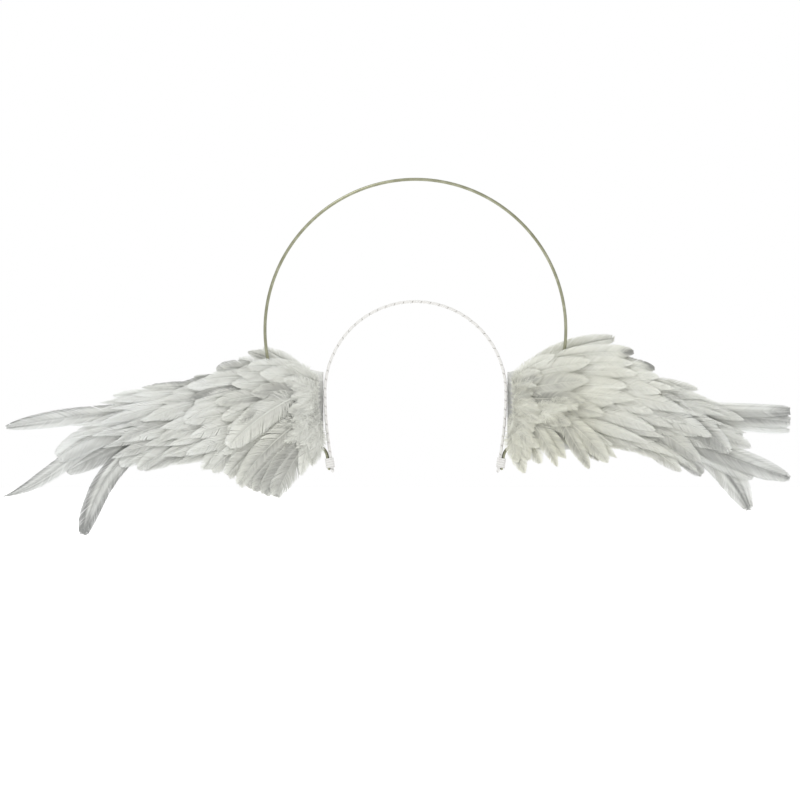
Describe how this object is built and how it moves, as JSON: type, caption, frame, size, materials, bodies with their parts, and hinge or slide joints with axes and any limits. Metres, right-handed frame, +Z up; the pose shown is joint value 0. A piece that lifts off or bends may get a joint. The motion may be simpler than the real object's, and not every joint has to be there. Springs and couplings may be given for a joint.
{
  "type": "halo headband with feather wings",
  "caption": "Costume headband carrying a thin gold wire halo ring and two spread feather wings at the sides.",
  "frame": {"origin": "middle of the headband's inner face at the crown, where it sits on the head", "axes": "+X towards the wing at the viewer's right, -Y towards the viewer in front, +Z up"},
  "size_m": [0.66, 0.0573, 0.296],
  "materials": {
    "ribbon": "white satin ribbon wound round the steel strip",
    "gold_wire": "pale antique gold, satin",
    "felt": "white pressed felt",
    "feather": "white goose feather, soft sheen"
  },
  "bodies": {
    "root": {"headband": "ribbon", "halo": "gold_wire", "left_binding": "ribbon", "left_pad": "felt", "left_flight_1": "feather", "left_flight_2": "feather", "left_flight_3": "feather", "left_flight_4": "feather", "left_flight_5": "feather", "left_flight_6": "feather", "left_flight_7": "feather", "left_lesser": "feather", "left_median": "feather", "left_greater": "feather", "left_secondary": "feather", "left_outer": "feather", "left_root": "feather", "left_back_outer": "feather", "left_back_inner": "feather", "right_binding": "ribbon", "right_pad": "felt", "right_flight_1": "feather", "right_flight_2": "feather", "right_flight_3": "feather", "right_flight_4": "feather", "right_flight_5": "feather", "right_flight_6": "feather", "right_flight_7": "feather", "right_flight_8": "feather", "right_lesser": "feather", "right_median": "feather", "right_greater": "feather", "right_secondary": "feather", "right_outer": "feather", "right_root": "feather", "right_back_outer": "feather", "right_back_inner": "feather"}
  },
  "joints": []
}
